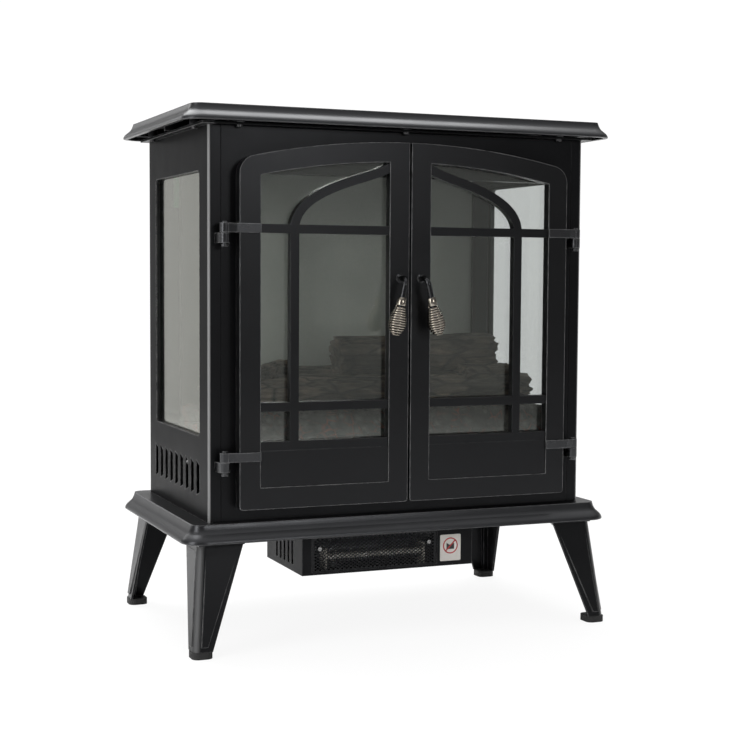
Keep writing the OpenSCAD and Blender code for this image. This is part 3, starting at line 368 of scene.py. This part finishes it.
MATS = {
    "slab": coat("slab_coat", (0.0060, 0.0060, 0.0065), 0.32, wear_and_highlight=0.4, spec=0.5),
    # bend paints a highlight down the rounded corners; wear and lighter_edges_from set the lighter edges,
    # part wear, part painted highlight.
    "cabinet": coat("cabinet_coat", (0.0035, 0.0035, 0.0038), 0.32, wear_and_highlight=0.7, spec=0.13, flank=0.015,
                    bend=0.9, lighter_edges_from=0.246),
    "heater": coat("heater_coat", (0.0140, 0.0140, 0.0150), 0.40, wear_and_highlight=0.3, spec=0.04),
    "hinge": coat("hinge_coat", (0.0060, 0.0060, 0.0062), 0.27, wear_and_highlight=0.6, spec=0.6),
    "door": coat("door_coat", (0.0026, 0.0026, 0.0027), 0.32, wear_and_highlight=0.9, spec=0.24),
    "lattice": coat("lattice_coat", (0.0026, 0.0026, 0.0027), 0.32, wear_and_highlight=0.1, spec=0.24),
    "leg": coat("leg_coat", (0.0030, 0.0030, 0.0032), 0.34, wear_and_highlight=0.5, spec=0.2, bend=0.45),
    "inner": coat("inner_coat", (0.0030, 0.0030, 0.0030), 0.45, wear_and_highlight=0.15, spec=0.3),
    "enamel": coat("black_enamel", (0.0015, 0.0015, 0.0015), 0.10, grain=500, grain_depth=0.00002,
                   wear_and_highlight=0.2),
    "door_glass": glass("smoked_door_glass", SMOKED, 1.8, (0.97, 1.0, 0.94)),
    "side_glass": glass("smoked_side_glass", SMOKED, 1.5, (1.0, 1.0, 0.4)),
    "rubber": plastic("pad_rubber", (0.012, 0.012, 0.012), 0.75, scale=900, depth=0.0001),
    "screws": screw_finish(),
    "zinc": metal("zinc_plate", (0.62, 0.62, 0.60), 0.32, stain=0.25),
    "wire": metal("heating_wire", (0.95, 0.95, 0.93), 0.30, scale=600, stain=0.15),
    "ceramic": plastic("ceramic_former", (0.72, 0.68, 0.60), 0.6, scale=1200, depth=0.00008),
    "galvanised": metal("galvanised_sheet", (0.55, 0.57, 0.58), 0.38, scale=80, stain=0.3),
    "motor": metal("motor_steel", (0.32, 0.32, 0.33), 0.42, brush=(0.05, 1, 1), scale=400),
    "strip": metal("bright_strip", (0.82, 0.83, 0.84), 0.16, scale=120, stain=0.12),
    "nickel": metal("nickel_wire", (0.31, 0.28, 0.24), 0.16, scale=500, stain=0.35),
    "plastic": plastic("black_plastic", (0.016, 0.016, 0.017), 0.45),
    "ferrite": plastic("magnet_ferrite", (0.05, 0.05, 0.053), 0.55, scale=700, depth=0.0001),
}


def board(name, base, trace):
    """A circuit board: solder mask with a fine grid of traces and bright pads."""
    s = Shader(name)
    at = s.place((1, 0.001, 1))
    lanes = s.node("TexBrick", {
        "Vector": s.node("Mapping", {"Vector": at, "Rotation": (math.radians(90), 0, 0)}).outputs["Vector"],
        "Color1": (*base, 1), "Color2": (*[c * 1.3 for c in base], 1), "Mortar": (*trace, 1),
        "Scale": 60, "Mortar Size": 0.06,
    }).outputs["Color"]
    pads = s.span(s.cells(420), 0.16, 0.12)
    body = s.blend(s.math("MULTIPLY", pads, 0.7), lanes, (0.5, 0.5, 0.46))
    gloss = s.span(s.noise(200), 0.3, 0.7, 0.28, 0.45)
    normal = s.bump(s.noise(900), 0.3, 0.00005)
    return s.done(s.principled(Base_Color=body, Roughness=gloss, Normal=normal))


def label_film():
    """Off-white film with a faint fibre and a little yellowing."""
    s = Shader("label_film")
    fibre = s.noise(1500, 4, 0.6)
    stain = s.noise(60, 5, 0.6)
    body = s.blend(s.span(stain, 0.35, 0.7), (0.76, 0.73, 0.69), (0.68, 0.64, 0.59))
    gloss = s.span(fibre, 0.3, 0.7, 0.38, 0.5)
    return s.done(s.principled(Base_Color=body, Roughness=gloss, Normal=s.bump(fibre, 0.2, 0.00003)))


def ink(name, colour):
    """Printed ink that is a little uneven."""
    s = Shader(name)
    spread = s.noise(700, 4, 0.6)
    body = s.blend(spread, [c * 0.8 for c in colour], colour)
    return s.done(s.principled(Base_Color=body, Roughness=s.span(spread, 0.3, 0.7, 0.35, 0.5)))


def bark():
    """Moulded resin log: dark furrows, grey-brown plates, pale ash on what faces up."""
    s = Shader("log_resin")
    grain = s.noise(70, 9, 0.62, at=s.place((0.18, 1, 1)), distortion=0.6)
    fine = s.noise(420, 6, 0.6, at=s.place((0.25, 1, 1)))
    tone = s.noise(14, 5, 0.6)
    crack = s.span(s.cells(55, at=s.place((0.3, 1, 1)), feature="DISTANCE_TO_EDGE"), 0.0, 0.09)
    body = s.ramp(grain, [(0.30, (0.012, 0.009, 0.007)), (0.48, (0.055, 0.038, 0.027)),
                          (0.62, (0.13, 0.098, 0.073)), (0.80, (0.24, 0.20, 0.165))])
    body = s.blend(s.span(tone, 0.42, 0.66), body, (0.018, 0.015, 0.013))
    up = s.node("SeparateXYZ", {"Vector": s.node("NewGeometry").outputs["Normal"]}).outputs["Z"]
    dust = s.math("MULTIPLY", s.span(up, 0.1, 0.95), s.span(fine, 0.4, 0.7), clamp=True)
    body = s.blend(s.math("MULTIPLY", dust, 0.4), body, (0.20, 0.19, 0.17))
    body = s.blend(s.math("SUBTRACT", 1.0, crack), body, (0.008, 0.006, 0.005))
    height = s.math("ADD", s.math("MULTIPLY", grain, 0.7), s.math("MULTIPLY", fine, 0.3))
    normal = s.bump(height, 0.7, 0.0022)
    gloss = s.span(fine, 0.3, 0.7, 0.62, 0.85)
    return s.done(s.principled(Base_Color=body, Roughness=gloss, Normal=normal))


def cinders():
    """Ember bed: charcoal lumps, grey ash between them, and the painted red of cold embers."""
    s = Shader("ember_resin")
    lump = s.cells(75)
    gap = s.cells(75, feature="DISTANCE_TO_EDGE")
    fine = s.noise(500, 6, 0.6)
    glow = s.noise(30, 5, 0.6)
    body = s.ramp(lump, [(0.05, (0.085, 0.080, 0.075)), (0.32, (0.034, 0.031, 0.029)),
                         (0.7, (0.012, 0.011, 0.010))])
    hot = s.math("MULTIPLY", s.span(gap, 0.10, 0.0), s.span(glow, 0.48, 0.62), clamp=True)
    body = s.blend(s.math("MULTIPLY", hot, 0.8), body, (0.20, 0.035, 0.010))
    body = s.blend(s.math("MULTIPLY", s.span(fine, 0.55, 0.75), 0.35), body, (0.20, 0.19, 0.175))
    normal = s.bump(s.math("ADD", s.math("MULTIPLY", gap, 0.8), s.math("MULTIPLY", fine, 0.2)), 0.6, 0.003)
    return s.done(s.principled(Base_Color=body, Roughness=s.span(fine, 0.3, 0.7, 0.7, 0.92), Normal=normal))


MATS["acrylic"] = satin_screen()
MATS["label"] = label_film()
MATS["ink_red"] = ink("label_ink_red", (0.50, 0.012, 0.016))
MATS["ink_dark"] = ink("label_ink_dark", (0.02, 0.02, 0.02))
MATS["bark"] = bark()
MATS["cinders"] = cinders()
MATS["led_board"] = board("led_board", (0.62, 0.62, 0.58), (0.5, 0.42, 0.2))
MATS["pcb"] = board("circuit_board", (0.012, 0.09, 0.035), (0.03, 0.19, 0.07))

FINISH = {
    "slab": ["base_slab", "top_slab"],
    "cabinet": ["top_plate", "front_fascia", "left_side_panel", "right_side_panel", "rear_panel",
                "control_plate"],
    "heater": ["heater_box"],
    "hinge": ["left_hinge_straps", "right_hinge_straps", "hinge_brackets", "hinge_pins"],
    "leg": ["leg_front_left", "leg_front_right", "leg_rear_left", "leg_rear_right"],
    "inner": ["firebox_floor", "window_frames", "screen_brackets", "heater_grille"],
    "door": ["left_door_frame", "left_door_liner", "right_door_frame", "right_door_liner"],
    "lattice": ["left_door_lattice", "right_door_lattice"],
    "side_glass": ["window_panes"],
    "door_glass": ["left_door_glass", "right_door_glass"],
    "rubber": ["foot_pads"],
    "zinc": ["leg_bolts", "rotor_spindle"],
    "screws": ["panel_screws", "slab_screws"],
    "wire": ["heating_element"],
    "ceramic": ["element_support"],
    "galvanised": ["fan_housing", "fan_wheel", "rotor_bracket", "thermal_cutout"],
    "motor": ["fan_motor", "flame_motor"],
    "label": ["caution_label"],
    "bark": ["log_set"],
    "cinders": ["ember_bed"],
    "acrylic": ["flame_screen"],
    "led_board": ["led_strip"],
    "pcb": ["control_board"],
    "strip": ["rotor_vanes"],
    "plastic": ["cord_gland", "power_rocker", "heat_rocker", "thermostat_knob", "flame_knob"],
    "ferrite": ["door_magnets"],
    "enamel": ["left_handle_rod", "right_handle_rod"],
    "nickel": ["left_handle_grip", "right_handle_grip"],
}

for key, names in FINISH.items():
    for name in names:
        slots = NODES[name].data.materials
        for i in range(len(slots)):
            slots[i] = MATS[key]
        if not len(slots):
            slots.append(MATS[key])


# ------------------------------------------------------------------ spring grips

def spring_grip(side, sign):
    """A ferrule and a tapered spring wound on the lower end of the handle's rod.

    Heights are measured down the leaning rod, from the middle of its bend.
    """
    low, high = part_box(f"{side}_handle_grip")
    lean = math.radians(12.5) * sign
    axis = Vector((math.sin(lean), 0, -math.cos(lean)))
    root = Vector((sign * 0.014, (low.y + high.y) / 2, 0.448))
    place = Matrix.Translation(root) @ Vector((0, 0, 1)).rotation_difference(axis).to_matrix().to_4x4()
    bore, top, collar = 0.00345, 0.024, 0.010
    turns, pitch, wire = 12, 0.00295, 0.00130
    first = top + collar + 0.001
    neck, widest, tip = 0.0050, (high.y - low.y) / 2 - wire, 0.0037
    belly = 0.62
    verts, faces = [], []

    def turn_radius(t):
        if t < belly:
            return neck + (widest - neck) * math.sin(math.pi / 2 * t / belly)
        return tip + (widest - tip) * math.cos(math.pi / 2 * (t - belly) / (1 - belly))

    def point(t, a):
        r = turn_radius(t)
        return place @ Vector((r * math.cos(a), r * math.sin(a), first + turns * pitch * t))

    def thickness(t):
        return wire * min(1.0, 0.45 + 12 * (1 - t))

    ferrule = [(bore, top), (0.0047, top), (0.0050, top + 0.0005), (0.0056, top + 0.005),
               (0.0061, top + collar - 0.0008), (0.0058, top + collar), (bore, top + collar)]
    lathe(ferrule, 40, place, verts, faces)
    tube(winding(turns, 30, point), thickness, 10, verts, faces)
    piece(f"{side}_spring_grip", verts, faces, f"{side}_door", [MATS["nickel"]],
          replaces=f"{side}_handle_grip")


spring_grip("left", -1)
spring_grip("right", 1)


# ------------------------------------------------------------------ heating coil

def heating_coil():
    """A wire wound along the heating element's length."""
    low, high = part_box("heating_element")
    mid = (low + high) / 2
    wire = 0.0006
    radius = (high.z - low.z) / 2 - wire

    def point(t, a):
        x = low.x + (high.x - low.x) * t
        return Vector((x, mid.y + radius * math.cos(a), mid.z + radius * math.sin(a)))

    verts, faces = tube(winding(40, 18, point), wire, 6)
    piece("heating_coil", verts, faces, "cabinet", [MATS["wire"]],
          replaces="heating_element")


heating_coil()


# ------------------------------------------------------------------ log set

def log(a, b, radius, seed):
    """A moulded log from a to b: bark plates and furrows, knots, and splintered ends."""
    around, step, splinter, frayed = 72, 0.0028, 0.010, 0.03
    rng = random.Random(seed)
    a, b = Vector(a), Vector(b)
    along = (b - a).normalized()
    u = along.orthogonal().normalized()
    v = along.cross(u)
    length = (b - a).length
    rings = max(12, int(length / step))
    shift = Vector((rng.uniform(-9, 9), rng.uniform(-9, 9), rng.uniform(-9, 9)))
    knots = [(rng.uniform(0.15, 0.85), rng.uniform(0, 2 * math.pi), rng.uniform(0.2, 0.4)) for _ in range(3)]
    verts, faces = [], []
    for i in range(rings + 1):
        t = i / rings
        for k in range(around):
            ang = 2 * math.pi * k / around
            ring = u * math.cos(ang) + v * math.sin(ang)
            q = ring * radius
            wide = noise.fractal((q * 34 + along * (t * length * 9)) + shift, 0.9, 2.1, 3)
            plates = noise.noise(q * 150 + along * (t * length * 34) + shift)
            furrow = abs(noise.noise(q * 210 + along * (t * length * 26) - shift))
            r = radius * (0.955 + 0.05 * wide)
            r += 0.0012 * plates - 0.0021 * max(0.0, 0.30 - furrow) / 0.30
            for kt, ka, size in knots:
                turned = (math.cos(ang - ka) - 1) * 2 + math.sin(ang - ka)
                d = math.hypot((t - kt) * length / radius, turned)
                swell = radius * 0.10 * math.exp(-(d / size) ** 2)
                r += swell - radius * 0.07 * math.exp(-(d / size * 2.2) ** 2)
            r = min(r, radius * 1.03)
            split = noise.noise(q * 160 + shift * 2) * 0.6 + noise.noise(q * 420 - shift) * 0.4
            reach_a = max(0.0, 1 - t * length / frayed)
            reach_b = max(0.0, 1 - (1 - t) * length / frayed)
            slide = reach_a * splinter * (0.5 + split) - reach_b * splinter * (0.5 + split)
            verts.append(a + along * (t * length + slide) + ring * r)
    for i in range(rings):
        for k in range(around):
            p = i * around + k
            n = i * around + (k + 1) % around
            faces.append((p, n, n + around, p + around))
    caps = 6
    for first, at, turn in ((0, a, 1), (rings * around, b, -1)):
        previous = list(range(first, first + around))
        for j in range(1, caps):
            share = 1 - j / caps
            start = len(verts)
            for k in range(around):
                rim = verts[first + k]
                flat = rim - at
                lift = flat.dot(along)
                p = at + (flat - along * lift) * share
                rough = noise.noise(p * 300 + shift) * 0.0022
                growth = 0.0007 * math.sin(share * 34)
                dish = turn * (0.0025 * (1 - share))
                verts.append(p + along * (lift * (0.35 + 0.65 * share) + dish + rough + growth))
            for k in range(around):
                n = (k + 1) % around
                faces.append((previous[k], previous[n], start + n, start + k))
            previous = list(range(start, start + around))
        verts.append(at + along * (turn * 0.003))
        for k in range(around):
            faces.append((previous[k], previous[(k + 1) % around], len(verts) - 1))
    return verts, faces


def log_pieces():
    """Six logs on the ember bed, each from one end to the other with its radius."""
    shift = Vector((0, 0.010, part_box("ember_bed")[1].z))
    plan = {
        "log_rear": ((-0.212, 0.028, 0.0242), (0.218, 0.026, 0.0242), 0.024),
        "log_front": ((-0.215, -0.062, 0.0192), (0.226, -0.048, 0.0192), 0.019),
        "log_middle": ((-0.130, -0.016, 0.0202), (0.160, -0.014, 0.0202), 0.020),
        "log_top": ((-0.044, -0.008, 0.060), (0.186, -0.020, 0.064), 0.028),
        "log_right": ((0.118, -0.050, 0.035), (0.204, -0.036, 0.034), 0.017),
        "log_left": ((-0.190, -0.050, 0.033), (-0.096, 0.034, 0.044), 0.013),
    }
    for n, (name, (a, b, r)) in enumerate(plan.items()):
        verts, faces = log(Vector(a) + shift, Vector(b) + shift, r, 11 + n)
        piece(name, verts, faces, "cabinet", [MATS["bark"]], replaces="log_set")


log_pieces()


# ------------------------------------------------------------------ ember bed

def ember_pieces():
    """The bed's ash and cinders, with a bevelled front, and loose lumps along that front."""
    low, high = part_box("ember_bed")
    nx, ny = 190, 74
    bevel_y, bevel_z = 0.0182, 0.026
    verts, faces = [], []
    for j in range(ny + 1):
        y = low.y + (high.y - low.y) * j / ny
        for i in range(nx + 1):
            x = low.x + (high.x - low.x) * i / nx
            p = Vector((x, y, 0))
            top = high.z - max(0.0, 1 - (y - low.y) / bevel_y) * bevel_z
            near = noise.voronoi(p * 62)[0]
            lump = max(0.0, 0.62 - near[0]) * 0.0085
            rough = noise.fractal(p * 140, 0.8, 2.2, 4) * 0.0016
            edge = min(1.0, min(x - low.x, high.x - x, high.y - y) / 0.004)
            verts.append(Vector((x, y, top - 0.0048 + (lump + rough) * edge)))
    row = nx + 1
    for j in range(ny):
        for i in range(nx):
            k = j * row + i
            faces.append((k, k + 1, k + 1 + row, k + row))
    rim = list(range(row)) + [j * row + nx for j in range(1, ny + 1)]
    rim += [ny * row + i for i in range(nx - 1, -1, -1)] + [j * row for j in range(ny - 1, 0, -1)]
    start = len(verts)
    for k in rim:
        verts.append(Vector((verts[k].x, verts[k].y, low.z + 0.0005)))
    for k in range(len(rim)):
        n = (k + 1) % len(rim)
        faces.append((rim[k], rim[n], start + n, start + k))
    faces.append(tuple(range(start + len(rim) - 1, start - 1, -1)))
    piece("ember_ash_bed", verts, faces, "cabinet", [MATS["cinders"]], replaces="ember_bed")

    rng = random.Random(5)
    verts, faces = [], []
    for _ in range(90):
        x = rng.uniform(low.x + 0.015, high.x - 0.015)
        y = rng.uniform(low.y + 0.022, low.y + 0.052)
        size = rng.uniform(0.004, 0.008)
        turn = Matrix.Rotation(rng.uniform(0, 6), 3, "Z") @ Matrix.Rotation(rng.uniform(0, 6), 3, "X")
        ball = bmesh.new()
        bmesh.ops.create_icosphere(ball, subdivisions=2, radius=1)
        start = len(verts)
        at = Vector((x, y, high.z + size * 0.15))
        for v in ball.verts:
            q = v.co.copy()
            q *= 1 + 0.35 * noise.noise(q * 1.7 + at * 900)
            q = Vector((max(-0.8, min(0.8, q.x)), max(-0.75, min(0.75, q.y)), max(-0.7, min(0.7, q.z))))
            verts.append(at + turn @ (q * size))
        for f in ball.faces:
            faces.append(tuple(start + v.index for v in f.verts))
        ball.free()
    piece("ember_lumps", verts, faces, "cabinet", [MATS["cinders"]], smooth=False,
          replaces="ember_bed")


ember_pieces()


# ------------------------------------------------------------------ label

def label():
    """A plain label with rounded corners and a generic ring and slash over a small dark block."""
    low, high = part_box("caution_label")
    mid = (low + high) / 2
    r = 0.0015
    verts, faces, which = [], [], []

    def plate(outline, y_front, y_back, index):
        start = len(verts)
        n = len(outline)
        for y in (y_front, y_back):
            for x, z in outline:
                verts.append(Vector((x, y, z)))
        faces.append(tuple(range(start, start + n)))
        faces.append(tuple(range(start + 2 * n - 1, start + n - 1, -1)))
        for i in range(n):
            faces.append((start + i, start + (i + 1) % n, start + n + (i + 1) % n, start + n + i))
        which.extend([index] * (n + 2))

    corners = []
    for cx, cz, a0 in ((high.x - r, high.z - r, 0), (low.x + r, high.z - r, 90),
                       (low.x + r, low.z + r, 180), (high.x - r, low.z + r, 270)):
        for k in range(7):
            a = math.radians(a0 + 15 * k)
            corners.append((cx + r * math.cos(a), cz + r * math.sin(a)))
    plate(corners, low.y + 0.00006, high.y, 0)
    cx, cz = mid.x, high.z - 0.0146
    ring_r, ring_w = 0.0106, 0.0016
    front = low.y
    back = front + 0.0001
    n = 72
    start = len(verts)
    section = ((ring_r, front), (ring_r - ring_w, front), (ring_r - ring_w, back), (ring_r, back))
    for k in range(n):
        a = 2 * math.pi * k / n
        for rr, y in section:
            verts.append(Vector((cx + rr * math.cos(a), y, cz + rr * math.sin(a))))
    for k in range(n):
        j = (k + 1) % n
        for m in range(4):
            faces.append((start + 4 * k + m, start + 4 * k + (m + 1) % 4,
                          start + 4 * j + (m + 1) % 4, start + 4 * j + m))
            which.append(1)
    half = (ring_r - ring_w / 2) * math.sqrt(0.5)
    w = 0.0006
    plate([(cx - half - w, cz - half + w), (cx - half + w, cz - half - w),
           (cx + half + w, cz + half - w), (cx + half - w, cz + half + w)], front, back, 1)
    plate([(cx - 0.0056, cz - 0.0046), (cx + 0.0054, cz - 0.0046), (cx + 0.0054, cz + 0.0034),
           (cx + 0.0018, cz + 0.0010), (cx - 0.0018, cz + 0.0014), (cx - 0.0056, cz + 0.0040)],
          front + 0.00003, back, 2)
    piece("plain_label", verts, faces, "cabinet", [MATS["label"], MATS["ink_red"], MATS["ink_dark"]],
          smooth=False, which=which, replaces="caution_label")


label()


# ------------------------------------------------------------------ floor, lights, camera

def floor():
    """White paper. The camera sees it mostly as its own light, so that only a faint shadow shows."""
    s = Shader("floor_paper")
    at = s.node("TexCoord").outputs["Object"]
    far = s.node("VectorMath", {0: at}, operation="LENGTH").outputs["Value"]
    fade = s.span(far, 1.5, 3.2)
    tone = s.span(s.noise(3, 4, 0.5), 0.3, 0.7, 0.90, 0.93)
    shade = s.node("CombineColor", {0: tone, 1: tone, 2: tone}).outputs["Color"]
    paper = s.node("BsdfDiffuse", {"Color": shade}).outputs["BSDF"]
    lit = s.node("Emission", {"Color": (1, 1, 1, 1), "Strength": 1.02}).outputs["Emission"]
    seen = s.math("MULTIPLY", s.node("LightPath").outputs["Is Camera Ray"], 0.88)
    paper = s.node("MixShader", {0: seen, 1: paper, 2: lit}).outputs["Shader"]
    clear = s.node("BsdfTransparent").outputs["BSDF"]
    s.done(s.node("MixShader", {0: fade, 1: paper, 2: clear}).outputs["Shader"])
    mesh = bpy.data.meshes.new("floor")
    n = 96
    ring = [(4 * math.cos(2 * math.pi * k / n), 4 * math.sin(2 * math.pi * k / n), 0) for k in range(n)]
    mesh.from_pydata(ring, [], [tuple(range(n))])
    mesh.materials.append(s.material)
    obj = bpy.data.objects.new("floor", mesh)
    bpy.context.scene.collection.objects.link(obj)


floor()


def area_light(name, at, toward, size, power):
    """A rectangular soft box at one point, turned to face another."""
    lamp = bpy.data.lights.new(name, "AREA")
    lamp.shape = "RECTANGLE"
    lamp.size, lamp.size_y = size
    lamp.energy = power
    obj = bpy.data.objects.new(name, lamp)
    obj.location = at
    obj.rotation_euler = (Vector(toward) - Vector(at)).to_track_quat("-Z", "Y").to_euler()
    bpy.context.scene.collection.objects.link(obj)


def world():
    """A pale studio: bright above and behind, most to the rear right, and dim in front of the doors."""
    studio = bpy.data.worlds.new("studio")
    studio.use_nodes = True
    bpy.context.scene.world = studio
    s = Nodes(studio.node_tree)

    def fade(value, low, high, to_low, to_high):
        return s.span(value, low, high, to_low, to_high, interpolation_type="SMOOTHSTEP")

    axes = s.node("SeparateXYZ", {"Vector": s.node("TexCoord").outputs["Generated"]})
    x, y, z = axes.outputs
    rear = s.math("MULTIPLY", fade(y, -0.6, 0.3, 0.0, 0.66), fade(x, -0.15, 0.2, 0.75, 1.05))
    level = fade(z, 0.10, 0.24, 1.0, 0.12)
    band = fade(s.math("ABSOLUTE", z), 0.12, 0.22, 0.26, 0.15)
    above = fade(z, 0.45, 0.9, 0.0, 0.9)
    light = s.math("ADD", s.math("ADD", s.math("MULTIPLY", rear, level), above), band)
    seen = s.node("LightPath").outputs["Is Camera Ray"]
    strength = s.node("Mix", {0: seen, 2: light, 3: 1.05}, data_type="FLOAT").outputs[0]
    background = s.node("Background", {"Color": (1, 1, 1, 1), "Strength": strength})
    s.node("OutputWorld", {"Surface": background.outputs["Background"]})


world()
area_light("overhead", (0, 0.9, 2.4), (0, 0, 0.2), (2.4, 2.0), 76)
area_light("left_bank", (-2.6, -1.0, 1.2), (0, 0, 0.35), (1.2, 2.0), 40)
area_light("rear_bank", (-1.5, 2.6, 1.7), (0, 0, 0.3), (1.6, 0.7), 8)
area_light("front_box", (0.57, -2.54, 1.12), (-0.12, -0.19, 0.6), (0.5, 0.5), 9)


def camera(at, yaw, pitch, roll, lens):
    """The scene's camera. It looks along +Y at zero yaw, and a negative yaw turns it to its right."""
    cam = bpy.data.cameras.new("camera")
    cam.sensor_width = 36
    cam.lens = lens
    yaw, pitch, roll = math.radians(yaw), math.radians(pitch), math.radians(roll)
    ahead = Vector((-math.sin(yaw) * math.cos(pitch), math.cos(yaw) * math.cos(pitch), math.sin(pitch)))
    right = Vector((math.cos(yaw), math.sin(yaw), 0))
    up = right.cross(ahead)
    x = right * math.cos(roll) + up * math.sin(roll)
    y = up * math.cos(roll) - right * math.sin(roll)
    obj = bpy.data.objects.new("camera", cam)
    obj.matrix_world = Matrix.Translation(at) @ Matrix((x, y, -ahead)).transposed().to_4x4()
    bpy.context.scene.collection.objects.link(obj)
    bpy.context.scene.camera = obj


camera((-0.749, -1.8363, 0.4524), yaw=-22.63, pitch=-3.836, roll=0.356, lens=71.95)
bpy.context.scene.view_settings.view_transform = "Standard"
